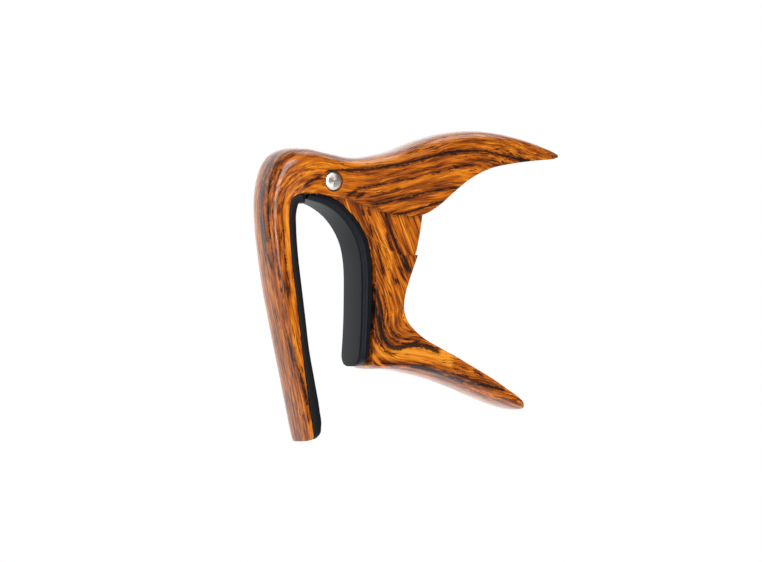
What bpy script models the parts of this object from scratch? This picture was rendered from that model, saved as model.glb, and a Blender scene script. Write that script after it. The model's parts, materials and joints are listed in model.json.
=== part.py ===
"""Trigger-style guitar capo, closed and with nothing clamped in it.

Frame: origin in the middle of the string pad's face, +X towards the handle tips, +Z up towards the
pivot, -Y towards the near cheek. The capo is symmetric about Y = 0 apart from its spring.
Every dimension below is in millimetres from the axis of the jaw's pivot. MM turns it into metres,
and the pivot's empty, which carries every piece, puts it in place.
"""

import math

import bmesh
import bpy
import numpy as np
from mathutils import Matrix

MM = 0.001

# Driving dimensions
STATION_STEP = 2.4  # longest stretch between two sections of a lofted body
CROWN_STEPS = 12  # facets over the rounded outer side of a casting
CROWN_POWER = 2.5  # 2 is an ellipse, more is squarer
FRAME_HALF_WIDTH = 6.8  # of the upper frame over the pivot
SIDE_WALL = 1.3  # of the upper frame's cheeks
ROOF_WALL = 1.7
POCKET_HALF_WIDTH = FRAME_HALF_WIDTH - SIDE_WALL
TONGUE_HALF_WIDTH = 5.1
EAR_GAP_HALF_WIDTH = 3.5  # inner faces of the tongue's two ears
JAW_HALF_WIDTH = 6.2
JAW_WALL = 1.8
OPEN_ANGLE = math.radians(25)  # the jaw's shoulder meets the cheeks here
PAD_GAP = 0.2  # between a pad's back and its casting
RIB_HALF_WIDTH = 1.6  # rib that keys the string pad into the arm
RIB_DEPTH = 0.8
RIB_GAP = 0.2
NECK_PAD_HALF_WIDTH = 5.25
NECK_PAD_CORNER = 3.5  # radius of the pad's two lower corners
PEG_RADIUS = 1.5
PEG_LENGTH = 2.6
PEG_GAP = 0.2
PIN_RADIUS = 1.6
PIN_HEAD_RADIUS = 2.35
PIN_HEAD_BASE = 6.1  # distance of a head's underside from the mid-plane
PIN_HEAD_RIM = 6.5
PIN_HEAD_TOP = 6.8
BORE_RADIUS = 1.8
COUNTERBORE_RADIUS = 2.75
COUNTERBORE_FLOOR = 5.95
WASHER_RADIUS = 3.1
WASHER_FACES = (4.75, 5.3)
EAR_RECESS_RADIUS = 3.4
EAR_RECESS_FLOOR = 4.6
WIRE_RADIUS = 0.9
COIL_RADIUS = 2.9  # centre line of the spring's coil
COIL_HALF_WIDTH = 2.4

# Upper frame, from the free end of its arm over the shoulder to the tip of its handle:
# outer x, outer z, inner x, inner z, half width, depth of the crown, thickness of the string pad
ARM = (
    (-6.95, -68.6, -4.9, -68.1, 4.2, 1.2, 1.0),
    (-7.1, -68.0, -4.95, -67.4, 4.7, 1.4, 1.9),
    (-7.5, -66.4, -5.2, -65.7, 4.85, 1.4, 2.6),
    (-8.6, -61.8, -6.1, -61.1, 4.9, 1.5, 3.0),
    (-10.3, -54.5, -7.4, -53.7, 5.0, 1.7, 2.8),
    (-12.3, -46.0, -8.6, -45.1, 5.1, 1.9, 2.2),
    (-14.3, -37.5, -9.75, -36.6, 5.15, 2.1, 2.15),
    (-16.15, -29.0, -10.9, -28.1, 5.2, 2.2, 2.1),
    (-17.6, -20.5, -12.0, -19.8, 5.2, 2.3, 2.1),
    (-18.6, -12.5, -12.6, -12.3, 5.25, 2.4, 2.1),
    (-18.95, -6.5, -12.7, -8.0, 5.35, 2.7, 2.2),
    (-18.6, -2.0, -12.2, -5.0, 5.55, 3.0, 2.4),
    (-17.3, 2.8, -11.2, -3.8, 5.85, 3.4, 2.5),
    (-15.0, 6.6, -10.0, -3.25, 6.2, 3.8, 2.6),
    (-12.0, 8.35, -8.55, -3.05, 6.55, 4.0, 2.6),
)
# The string pad's last row takes the place of the arm's, and slants to meet the neck pad's end
STRING_PAD_END = (-2.8, 5.9, -7.05, -3.1, 5.2, 0, 2.6)
HANDLE_ROOT = (
    (-8.5, 8.85, -6.7, -3.05, FRAME_HALF_WIDTH, 4.2, 0),
    (-5.5, 8.75, -5.2, -3.15, FRAME_HALF_WIDTH, 4.3, 0),
)
HANDLE = (
    (-2.5, 8.2, -2.2, -3.6, FRAME_HALF_WIDTH, 4.4, 0),
    (1.5, 7.4, 1.8, -4.2, FRAME_HALF_WIDTH, 4.4, 0),
    (8.3, 6.3, 8.0, -5.8, FRAME_HALF_WIDTH, 4.4, 0),
    (15.0, 6.95, 14.4, -7.8, FRAME_HALF_WIDTH, 4.5, 0),
    (21.5, 8.3, 20.6, -8.95, FRAME_HALF_WIDTH, 4.7, 0),
    (28.0, 10.6, 26.8, -8.9, FRAME_HALF_WIDTH, 4.9, 0),
    (34.0, 12.3, 32.0, -6.4, 6.7, 5.0, 0),
    (40.0, 13.25, 36.9, -2.7, 6.5, 4.8, 0),
    (46.0, 13.5, 42.6, 1.1, 6.15, 4.5, 0),
    (51.0, 13.1, 48.4, 3.5, 5.7, 4.0, 0),
)
HANDLE_TIP = (
    (56.0, 12.3, 54.2, 4.6, 5.1, 3.4, 0),
    (61.5, 11.0, 60.4, 5.35, 4.3, 2.6, 0),
    (66.5, 9.4, 66.0, 5.8, 3.3, 1.8, 0),
    (70.2, 8.1, 70.0, 6.1, 2.1, 1.0, 0),
    (72.0, 7.25, 71.9, 6.5, 0.9, 0.4, 0),
)

# Lower jaw, from behind the top of its pad down to the corner and along its handle:
# outer x, outer z, inner x, inner z, half width, depth of the crown
JAW_BACK = (
    (8.2, -10.3, 27.9, -12.0, JAW_HALF_WIDTH, 0.5),
    (11.25, -15.0, 26.6, -17.5, JAW_HALF_WIDTH, 0.5),
    (12.4, -19.7, 25.3, -21.0, JAW_HALF_WIDTH, 0.5),
    (12.8, -24.5, 23.6, -25.3, JAW_HALF_WIDTH, 0.5),
    (12.8, -29.5, 22.1, -29.8, JAW_HALF_WIDTH, 0.5),
    (12.65, -34.0, 21.65, -32.8, JAW_HALF_WIDTH, 0.5),
    (12.35, -38.7, 21.9, -34.9, JAW_HALF_WIDTH, 0.5),
    (12.0, -43.5, 22.6, -36.6, JAW_HALF_WIDTH, 0.5),
    (11.7, -47.4, 23.4, -37.75, JAW_HALF_WIDTH, 0.6),
    (11.75, -48.7, 24.0, -38.4, JAW_HALF_WIDTH, 0.8),
    (12.8, -49.4, 24.6, -38.95, JAW_HALF_WIDTH, 1.2),
)
LOWER_HANDLE = (
    (15.8, -49.6, 25.9, -40.1, JAW_HALF_WIDTH, 1.6),
    (21.0, -50.0, 28.3, -41.75, JAW_HALF_WIDTH, 2.2),
    (27.0, -51.0, 31.6, -43.45, JAW_HALF_WIDTH, 2.6),
    (33.5, -52.5, 37.0, -46.0, JAW_HALF_WIDTH, 2.8),
    (40.0, -54.6, 43.0, -49.1, JAW_HALF_WIDTH, 2.6),
    (46.5, -56.95, 48.6, -52.05, JAW_HALF_WIDTH, 2.3),
    (52.0, -58.9, 53.2, -54.8, 6.1, 1.9),
)
LOWER_HANDLE_END = (
    (55.9, -60.05, 56.4, -56.7, 5.9, 1.5),
    (57.9, -60.45, 58.2, -57.9, 5.5, 1.1),
    (59.0, -60.4, 59.1, -58.7, 4.9, 0.8),
    (59.5, -60.1, 59.45, -59.3, 4.2, 0.4),
)

# Neck pad, from its upper end below the pivot down to its square end: front x, front z, back x, back z
NECK_PAD = (
    (-7.35, -4.65, -6.8, -3.4),
    (-5.0, -5.3, -4.4, -3.45),
    (-2.0, -6.2, -1.6, -3.95),
    (0.9, -7.65, 1.9, -5.1),
    (3.6, -9.7, 5.3, -7.85),
    (6.3, -12.9, 8.6, -11.25),
    (8.2, -16.6, 11.0, -15.2),
    (9.15, -20.6, 12.15, -19.9),
    (9.5, -25.0, 12.55, -24.7),
    (9.5, -30.0, 12.55, -29.8),
    (9.4, -36.0, 12.3, -35.8),
    (9.1, -42.0, 11.9, -41.7),
    (8.85, -45.4, 11.6, -45.1),
)
NECK_PAD_END_Z = -48.9
PEG_Z = (-25.0, -40.0)
PEG_FRONT_X = 11.2  # pegs start inside the pad, here

# Side outline of the tongue, which starts along the back of the neck pad: up its back, over the top
# of its ears and round its nose
TONGUE_BACK = ((24.5, -23.0), (26.2, -18.0), (27.3, -13.0), (27.9, -9.0), (27.5, -7.4), (26.0, -6.4))
TONGUE_TOP = ((19.6, -4.5), (12.0, -2.4), (7.0, -0.4))
EAR_RADIUS = 4.0
EAR_ARC = (math.radians(52), math.radians(159))
NOSE_TOP = ((-5.0, -2.3), (-6.0, -2.35))
# Side outline of the slot between the ears, open over the pivot, behind and below the coil
EAR_SLOT = (
    (-4.5, -9.0),
    (3.0, -9.0),
    (3.6, -5.2),
    (6.9, -7.2),
    (10.4, -10.6),
    (12.9, -14.3),
    (14.1, -19.2),
    (14.4, -25.0),
    (31.0, -25.0),
    (31.0, 9.0),
    (-4.5, 9.0),
)
NOSE_POCKET = ((-7.4, -9.0), (-4.8, -9.0), (-4.8, -1.9), (-7.4, -1.9))
# Side view of the spring's two legs, from the coil outwards
LEG_ON_ROOF = ((4.5, 2.95), (9.0, 3.05), (17.0, 4.0), (25.0, 6.1))
LEG_IN_JAW = ((3.0, -3.3), (5.2, -4.3), (8.5, -6.95), (12.4, -11.2), (14.9, -16.2), (15.6, -20.6))


def clear_scene():
    for old in list(bpy.data.objects):
        bpy.data.objects.remove(old)


def material(name, colour, roughness, metallic=0.0):
    made = bpy.data.materials.new(name)
    made.use_nodes = True
    shader = made.node_tree.nodes["Principled BSDF"]
    shader.inputs["Base Color"].default_value = (*colour, 1)
    shader.inputs["Roughness"].default_value = roughness
    shader.inputs["Metallic"].default_value = metallic
    return made


def link(name, bm, surface=None, sharp=35):
    """An object holding a closed mesh, its points given in millimetres."""
    bmesh.ops.scale(bm, vec=(MM, MM, MM), verts=bm.verts)
    bmesh.ops.recalc_face_normals(bm, faces=bm.faces)
    mesh = bpy.data.meshes.new(name)
    bm.to_mesh(mesh)
    bm.free()
    mesh.shade_smooth()
    mesh.set_sharp_from_angle(angle=math.radians(sharp))
    if surface:
        mesh.materials.append(surface)
    made = bpy.data.objects.new(name, mesh)
    bpy.context.scene.collection.objects.link(made)
    return made


def combine(target, tool, operation):
    """Cuts the target with a hidden tool, or joins the tool to it."""
    tool.hide_render = True
    tool.display_type = "WIRE"
    step = target.modifiers.new(tool.name, "BOOLEAN")
    step.operation = operation
    step.object = tool
    step.solver = "MANIFOLD"  # EXACT leaves open edges on these curved walls


def loft(name, rings, surface=None):
    """A closed body through rings of points, capped at both ends."""
    bm = bmesh.new()
    rows = [[bm.verts.new(point) for point in ring] for ring in rings]
    for ring, following in zip(rows, rows[1:]):
        for i in range(len(ring)):
            j = (i + 1) % len(ring)
            bm.faces.new((ring[i], ring[j], following[j], following[i]))
    bm.faces.new(rows[0])
    bm.faces.new(rows[-1])
    bmesh.ops.triangulate(bm, faces=bm.faces)
    return link(name, bm, surface)


def prism(name, outline, half_width):
    """A side outline made as wide as given, about the mid-plane."""
    bm = bmesh.new()
    face = bm.faces.new([bm.verts.new((x, -half_width, z)) for x, z in outline])
    extruded = bmesh.ops.extrude_face_region(bm, geom=[face])
    moved = [v for v in extruded["geom"] if isinstance(v, bmesh.types.BMVert)]
    bmesh.ops.translate(bm, vec=(0, 2 * half_width, 0), verts=moved)
    return link(name, bm)


def turned(name, profile, surface=None, segments=40):
    """A closed ring or rod turned about the pivot axis from (y, radius) pairs."""
    bm = bmesh.new()
    closed = all(radius > 0 for _, radius in profile)
    verts = [bm.verts.new((radius, y, 0)) for y, radius in profile]
    edges = [bm.edges.new(pair) for pair in zip(verts, verts[1:])]
    if closed:
        edges.append(bm.edges.new((verts[-1], verts[0])))
    bmesh.ops.spin(bm, geom=verts + edges, axis=(0, 1, 0), cent=(0, 0, 0), steps=segments, angle=math.tau)
    bmesh.ops.remove_doubles(bm, verts=bm.verts, dist=0.001)
    return link(name, bm, surface)


def smooth_rows(rows, step=STATION_STEP):
    """Rows of a table with others between them, on a smooth curve through them all."""
    rows = np.array(rows, float)
    lengths = np.linalg.norm(np.diff(rows[:, :4], axis=0), axis=1) / math.sqrt(2)
    slopes = np.diff(rows, axis=0) / lengths[:, None]
    before, after = lengths[:-1, None], lengths[1:, None]
    middle = (slopes[:-1] * after + slopes[1:] * before) / (before + after)
    tangents = np.vstack((slopes[:1], middle, slopes[-1:]))
    result = []
    for i, length in enumerate(lengths):
        parts = max(1, math.ceil(length / step))
        for u in np.arange(parts) / parts:
            result.append(
                (2 * u**3 - 3 * u**2 + 1) * rows[i]
                + (3 * u**2 - 2 * u**3) * rows[i + 1]
                + (u**3 - 2 * u**2 + u) * length * tangents[i]
                + (u**3 - u**2) * length * tangents[i + 1]
            )
    return result + [rows[-1]]


def halfway(rows):
    """Rows halfway between each row and the next, so that a cutter's sections miss the casting's own."""
    return [(row + following) / 2 for row, following in zip(rows, rows[1:])]


def across(row):
    """Inner point of a section, the unit direction from there to the outer point, and their distance."""
    inner = np.array((row[2], row[3]))
    outward = np.array((row[0], row[1])) - inner
    depth = np.linalg.norm(outward)
    return inner, outward / depth, depth


def placed(inner, outward, section):
    """Points of a section given as (y, distance outward from the inner point)."""
    return [(inner[0] + outward[0] * t, y, inner[1] + outward[1] * t) for y, t in section]


def crowned_ring(row):
    """A casting's section: square at the inner side, rounded over at the outer side."""
    inner, outward, depth = across(row)
    half_width, crown = row[4], row[5]
    section = [(-half_width, 0), (half_width, 0)]
    for i in range(CROWN_STEPS + 1):
        turn = math.pi * i / CROWN_STEPS
        side = math.copysign(abs(math.cos(turn)) ** (2 / CROWN_POWER), math.cos(turn))
        rise = math.sin(turn) ** (2 / CROWN_POWER) if 0 < i < CROWN_STEPS else 0
        section.append((half_width * side, depth - crown + crown * rise))
    return placed(inner, outward, section)


def hollow_row(row, side_wall, outer_wall, beyond):
    """The row of a cavity that leaves walls inside a casting's row and is open at its inner side."""
    inner, outward, depth = across(row)
    outer = inner + outward * (depth - outer_wall)
    open_side = inner - outward * beyond
    return (*outer, *open_side, row[4] - side_wall, max(0.4, row[5] - 1))


def string_pad_rows(first_gap):
    """The arm's rows as (back point, direction into the gap, pad thickness, half width)."""
    rows = []
    for row in smooth_rows((*ARM[:-1], STRING_PAD_END)):
        inner, outward, _ = across(row)
        rows.append((inner - outward * first_gap, -outward, row[6], row[4]))
    return rows


def string_pad(surface):
    """Rubber strip with rounded face edges and a rib that runs in the arm's groove."""
    rings = []
    for back, into_gap, thickness, half_width in string_pad_rows(PAD_GAP):
        edge = min(0.7, 0.6 * thickness)
        section = [
            (-half_width, 0),
            (-RIB_HALF_WIDTH, 0),
            (-RIB_HALF_WIDTH, -RIB_DEPTH),
            (RIB_HALF_WIDTH, -RIB_DEPTH),
            (RIB_HALF_WIDTH, 0),
            (half_width, 0),
        ]
        section += rounded_face(half_width, thickness, edge)
        rings.append(placed(back, into_gap, section))
    return loft("string_pad", rings, surface)


def rounded_face(half_width, thickness, edge, steps=3):
    """The face side of a pad's section, its two edges rounded to the given radius."""
    points = []
    for side in (1, -1):
        turns = [math.pi / 2 * i / steps for i in range(steps + 1)]
        for turn in turns if side > 0 else reversed(turns):
            y = half_width - edge + edge * math.cos(turn)
            points.append((side * y, thickness - edge + edge * math.sin(turn)))
    return points


def pad_groove():
    """Cutter for the groove in the arm, a little larger than the pad's rib and open at both ends."""
    rows = string_pad_rows(PAD_GAP)
    width = RIB_HALF_WIDTH + RIB_GAP
    section = [(-width, PAD_GAP), (-width, -RIB_DEPTH - RIB_GAP)]
    section += [(width, -RIB_DEPTH - RIB_GAP), (width, PAD_GAP)]
    rings = [placed(back, into_gap, section) for back, into_gap, _, _ in rows]
    first = np.array(rings[0]) * 2 - np.array(rings[1])
    last = np.array(rings[-1]) * 2 - np.array(rings[-2])
    return loft("pad_groove_cutter", [first.tolist(), *rings, last.tolist()])


def neck_pad_rows():
    """Rows of the neck pad with its half width, narrowed by round corners at the square end."""
    rows = [(*row, NECK_PAD_HALF_WIDTH) for row in NECK_PAD]
    smooth = smooth_rows(rows)
    last, before = smooth[-1], smooth[-2]
    lean = (last[:4] - before[:4]) / (before[1] - last[1])
    end = last[:4] + lean * (last[1] - NECK_PAD_END_Z)
    corner_start = end - lean * NECK_PAD_CORNER
    for turn in (0, 20, 40, 58, 72, 82):
        along = math.sin(math.radians(turn))
        narrowed = NECK_PAD_CORNER * (1 - math.cos(math.radians(turn)))
        place = corner_start + (end - corner_start) * along
        smooth.append(np.array((*place, NECK_PAD_HALF_WIDTH - narrowed)))
    return smooth


def neck_pad(surface):
    """Silicone pad over the jaw's front, held by two pegs through the jaw's wall."""
    rings = []
    for row in neck_pad_rows():
        front, toward_back, thickness = across((row[2], row[3], row[0], row[1]))
        back = front + toward_back * thickness
        edge = min(0.8, 0.45 * thickness)
        section = [(-row[4], 0), (row[4], 0)] + rounded_face(row[4], thickness, edge)
        rings.append(placed(back, -toward_back, section))
    pad = loft("neck_pad", rings, surface)
    for i, z in enumerate(PEG_Z):
        combine(pad, rod_along_x(f"peg_{i}", PEG_RADIUS, z, PEG_FRONT_X, PEG_LENGTH + 1), "UNION")
    return pad


def rod_along_x(name, radius, z, start, length):
    bm = bmesh.new()
    turn = Matrix.Translation((start + length / 2, 0, z)) @ Matrix.Rotation(math.pi / 2, 4, "Y")
    bmesh.ops.create_cone(
        bm, cap_ends=True, segments=24, radius1=radius, radius2=radius, depth=length, matrix=turn
    )
    return link(name, bm)


def pad_middle():
    """Middle of the string pad's face, where the part's origin is."""
    rows = string_pad_rows(PAD_GAP)
    middle = (len(rows) - 1) // 2
    faces = [back + into_gap * thickness for back, into_gap, thickness, _ in rows[middle : middle + 2]]
    return (faces[0] + faces[1]) / 2


def upper_frame(surface):
    """One casting: string arm, shoulder, two cheeks over the pivot and the upper handle."""
    rows = smooth_rows(ARM + HANDLE_ROOT + HANDLE + HANDLE_TIP)
    frame = loft("upper_frame", [crowned_ring(row) for row in rows], surface)
    channel_rows = halfway(smooth_rows(HANDLE_ROOT + HANDLE, 2 * STATION_STEP))
    channel = [hollow_row(row, SIDE_WALL, ROOF_WALL, 4) for row in channel_rows]
    combine(frame, loft("channel_cutter", [crowned_ring(row) for row in channel]), "DIFFERENCE")
    combine(frame, prism("nose_pocket_cutter", NOSE_POCKET, POCKET_HALF_WIDTH), "DIFFERENCE")
    combine(frame, pad_groove(), "DIFFERENCE")
    combine(frame, bore("frame_bore_cutter", BORE_RADIUS, -9, 9), "DIFFERENCE")
    for side in (-1, 1):
        faces = sorted((side * COUNTERBORE_FLOOR, side * 9))
        combine(frame, bore(f"counterbore_cutter_{side}", COUNTERBORE_RADIUS, *faces), "DIFFERENCE")
    return frame


def bore(name, radius, start, end):
    """A round cutter on the pivot axis."""
    return turned(name, ((start, 0), (start, radius), (end, radius), (end, 0)))


def turned_about_pivot(point, angle):
    """A side-view point turned by an angle that opens the jaw when positive."""
    x, z = point
    return (x * math.cos(angle) - z * math.sin(angle), x * math.sin(angle) + z * math.cos(angle))


def shoulder_outline():
    """Region above the jaw's shoulder, which copies the cheeks' lower edge turned by the opening angle."""
    edge = [(row[2], row[3]) for row in smooth_rows(HANDLE[1:8])]
    line = [turned_about_pivot(point, -OPEN_ANGLE) for point in edge]
    return [*line, (40, line[-1][1] + 4), (40, 10), (-10, 10), (-10, line[0][1])]


def tongue_outline():
    """Side outline of the part of the jaw that turns between the cheeks."""
    front = []
    for row in smooth_rows(NECK_PAD[:8]):
        back, _, thickness = across(row)
        front.append(tuple(back + (back - row[:2]) * PAD_GAP / thickness))
    start, end = EAR_ARC
    ear = []
    for i in range(11):
        turn = start + (end - start) * i / 10
        ear.append((EAR_RADIUS * math.cos(turn), EAR_RADIUS * math.sin(turn)))
    return [*front, *TONGUE_BACK, *TONGUE_TOP, *ear, *NOSE_TOP]


def lower_jaw(surface):
    """One casting: eared tongue, jaw behind the neck pad, and the lower handle, hollow from inside."""
    rows = smooth_rows(JAW_BACK + LOWER_HANDLE + LOWER_HANDLE_END)
    jaw = loft("lower_jaw", [crowned_ring(row) for row in rows], surface)
    combine(jaw, prism("shoulder_cutter", shoulder_outline(), 9), "DIFFERENCE")
    combine(jaw, prism("tongue", tongue_outline(), TONGUE_HALF_WIDTH), "UNION")
    channel_rows = halfway(smooth_rows(JAW_BACK[2:] + LOWER_HANDLE, 2 * STATION_STEP))
    channel = [hollow_row(row, JAW_WALL, JAW_WALL, 3) for row in channel_rows]
    combine(jaw, loft("jaw_channel_cutter", [crowned_ring(row) for row in channel]), "DIFFERENCE")
    combine(jaw, prism("ear_slot_cutter", EAR_SLOT, EAR_GAP_HALF_WIDTH), "DIFFERENCE")
    combine(jaw, bore("jaw_bore_cutter", BORE_RADIUS, -9, 9), "DIFFERENCE")
    for side in (-1, 1):
        faces = sorted((side * EAR_RECESS_FLOOR, side * 9))
        combine(jaw, bore(f"ear_recess_cutter_{side}", EAR_RECESS_RADIUS, *faces), "DIFFERENCE")
    for i, z in enumerate(PEG_Z):
        hole = rod_along_x(f"peg_hole_cutter_{i}", PEG_RADIUS + PEG_GAP, z, PEG_FRONT_X, 5)
        combine(jaw, hole, "DIFFERENCE")
    return jaw


def pivot_pin(surface):
    """Steel rivet through cheeks, washers, ears and coil, with a domed head sunk in each cheek."""
    dome = []
    for i in range(5):
        turn = math.pi / 2 * i / 4
        rise = (PIN_HEAD_TOP - PIN_HEAD_RIM) * math.sin(turn)
        dome.append((PIN_HEAD_RIM + rise, PIN_HEAD_RADIUS * math.cos(turn) if i < 4 else 0))
    half = [(PIN_HEAD_BASE, PIN_RADIUS), (PIN_HEAD_BASE, PIN_HEAD_RADIUS), *dome]
    profile = [(-y, radius) for y, radius in reversed(half)] + half
    return turned("pivot_pin", profile, surface)


def thrust_washer(name, side, surface):
    """Thin ring between an ear and a cheek."""
    near, far = (side * face for face in WASHER_FACES)
    inner = PIN_RADIUS + 0.2
    profile = ((near, inner), (near, WASHER_RADIUS), (far, WASHER_RADIUS), (far, inner))
    return turned(name, profile, surface)


def torsion_spring(surface):
    """Round wire: one leg under the handle's roof, the coil round the pin, one leg down inside the jaw."""
    start = math.radians(93)
    end = math.radians(262) + 2 * math.tau
    steps = 44
    coil = []
    for i in range(steps + 1):
        turn = start + (end - start) * i / steps
        y = -COIL_HALF_WIDTH + 2 * COIL_HALF_WIDTH * i / steps
        coil.append((COIL_RADIUS * math.cos(turn), y, COIL_RADIUS * math.sin(turn)))
    roof_leg = [(x, -COIL_HALF_WIDTH, z) for x, z in reversed(LEG_ON_ROOF)]
    jaw_leg = [(x, COIL_HALF_WIDTH, z) for x, z in LEG_IN_JAW]
    return wire("torsion_spring", roof_leg + coil + jaw_leg, surface)


def wire(name, path, surface):
    """A round wire along a path, with flat ends."""
    points = [np.array(point, float) for point in path]
    sides = 8
    rings = []
    normal = None
    for i, point in enumerate(points):
        along = points[min(i + 1, len(points) - 1)] - points[max(i - 1, 0)]
        along /= np.linalg.norm(along)
        if normal is None:
            normal = np.cross(along, (0, 1, 0))
        normal = normal - along * np.dot(normal, along)
        normal /= np.linalg.norm(normal)
        other = np.cross(along, normal)
        turns = [math.tau * k / sides for k in range(sides)]
        rings.append(
            [tuple(point + WIRE_RADIUS * (normal * math.cos(t) + other * math.sin(t))) for t in turns]
        )
    return loft(name, rings, surface)


def place_on_pivot():
    """Parents every piece to an empty on the jaw's pivot, placed from the part's origin."""
    x, z = pad_middle()
    pieces = list(bpy.data.objects)
    pivot = bpy.data.objects.new("jaw_pivot", None)
    pivot.location = (-x * MM, 0, -z * MM)
    bpy.context.scene.collection.objects.link(pivot)
    for piece in pieces:
        piece.parent = pivot


def main():
    clear_scene()
    casting = material("printed_casting", (0.42, 0.17, 0.035), 0.25)
    steel = material("polished_steel", (0.62, 0.6, 0.57), 0.25, 1.0)
    spring_steel = material("spring_steel", (0.35, 0.35, 0.36), 0.35, 1.0)
    nylon = material("nylon", (0.75, 0.74, 0.7), 0.45)
    black_rubber = material("string_pad_rubber", (0.012, 0.012, 0.014), 0.5)
    grey_silicone = material("neck_pad_silicone", (0.05, 0.055, 0.065), 0.45)
    upper_frame(casting)
    lower_jaw(casting)
    pivot_pin(steel)
    torsion_spring(spring_steel)
    thrust_washer("thrust_washer_near", -1, nylon)
    thrust_washer("thrust_washer_far", 1, nylon)
    string_pad(black_rubber)
    neck_pad(grey_silicone)
    place_on_pivot()


main()
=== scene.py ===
"""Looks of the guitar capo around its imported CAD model: wood print, rubber, silicone and steel.

Lengths in the tables and materials are in millimetres from the axis of the jaw's pivot, with X towards
the handle tips, Z up and -Y towards the near side. Materials read object coordinates, which are the
row frame's metres, so the grain stays on its casting when the jaw turns.
"""
import json
import math

import bmesh
import bpy
import numpy as np
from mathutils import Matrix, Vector

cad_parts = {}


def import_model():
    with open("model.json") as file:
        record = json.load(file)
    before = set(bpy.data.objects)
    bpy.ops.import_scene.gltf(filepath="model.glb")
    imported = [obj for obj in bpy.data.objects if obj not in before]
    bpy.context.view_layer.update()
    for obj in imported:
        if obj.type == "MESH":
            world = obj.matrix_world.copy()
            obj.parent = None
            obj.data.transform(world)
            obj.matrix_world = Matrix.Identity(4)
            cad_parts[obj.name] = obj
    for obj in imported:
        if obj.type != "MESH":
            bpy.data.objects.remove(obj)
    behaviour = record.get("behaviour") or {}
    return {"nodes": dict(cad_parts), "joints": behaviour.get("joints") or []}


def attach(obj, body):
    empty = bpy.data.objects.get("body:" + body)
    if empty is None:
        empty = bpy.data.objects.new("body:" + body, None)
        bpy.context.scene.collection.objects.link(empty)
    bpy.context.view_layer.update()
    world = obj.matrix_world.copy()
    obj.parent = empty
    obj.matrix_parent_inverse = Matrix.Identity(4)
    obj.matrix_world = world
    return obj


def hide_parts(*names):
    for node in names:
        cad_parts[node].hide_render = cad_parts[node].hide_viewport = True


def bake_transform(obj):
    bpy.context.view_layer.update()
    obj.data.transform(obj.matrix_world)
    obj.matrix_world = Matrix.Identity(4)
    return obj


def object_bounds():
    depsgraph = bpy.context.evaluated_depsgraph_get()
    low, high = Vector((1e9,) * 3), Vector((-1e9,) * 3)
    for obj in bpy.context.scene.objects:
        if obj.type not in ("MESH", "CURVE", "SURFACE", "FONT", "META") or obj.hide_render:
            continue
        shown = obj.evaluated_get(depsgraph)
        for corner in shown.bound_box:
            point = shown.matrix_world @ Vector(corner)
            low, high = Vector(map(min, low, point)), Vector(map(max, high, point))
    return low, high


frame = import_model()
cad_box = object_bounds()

MM = 0.001
PIVOT = Vector(frame["joints"][0]["pos_m"])


# ---------------------------------------------------------------- node graphs


def srgb(red, green, blue):
    """A colour read from 0 to 255, as linear red, green, blue and alpha."""
    shares = [c / 255 for c in (red, green, blue)]
    linear = [((c + 0.055) / 1.055) ** 2.4 if c > 0.04 else c / 12.92 for c in shares]
    return (*linear, 1.0)


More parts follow.
